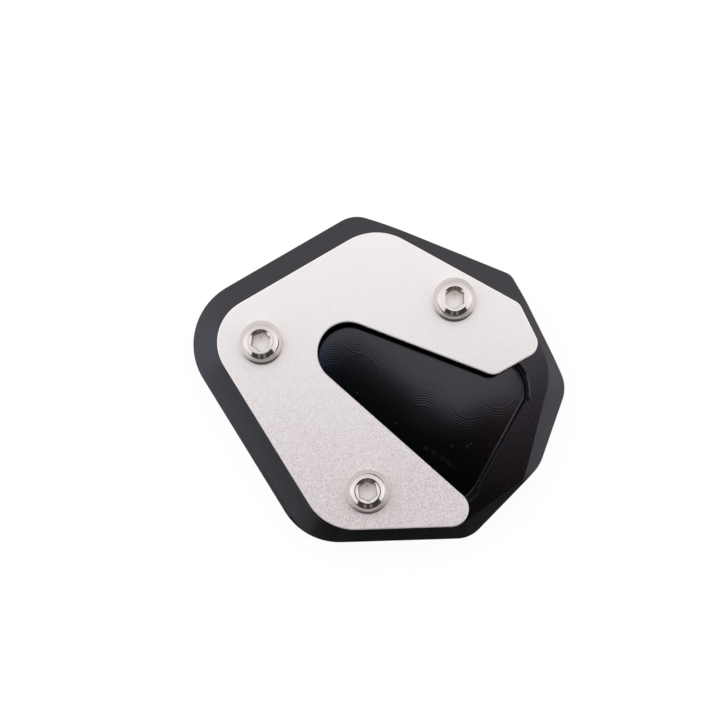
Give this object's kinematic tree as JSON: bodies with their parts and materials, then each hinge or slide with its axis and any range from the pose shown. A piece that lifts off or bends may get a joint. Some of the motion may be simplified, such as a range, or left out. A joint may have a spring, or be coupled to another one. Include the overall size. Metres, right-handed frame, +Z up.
{
  "type": "kickstand foot enlarger",
  "caption": "Many-sided black metal foot with a bevelled rim and a milled pocket for the foot of a motorbike's side stand, held on by a screwed silver clamp plate notched for the leg.",
  "frame": {"origin": "middle of the base's box in plan, on the ground face", "axes": "+Z up from the ground, +X to the right along the straight front side, +Y to the back"},
  "size_m": [0.0918, 0.0807, 0.0183],
  "materials": {
    "black_anodised": "machined and anodised black, semi-gloss",
    "silver_anodised": "bead-blasted and anodised clear, fine matt grain",
    "stainless": "bright stainless steel"
  },
  "bodies": {
    "root": {"base_plate": "black_anodised", "clamp_plate": "silver_anodised", "clamp_screws": "stainless"}
  },
  "joints": []
}
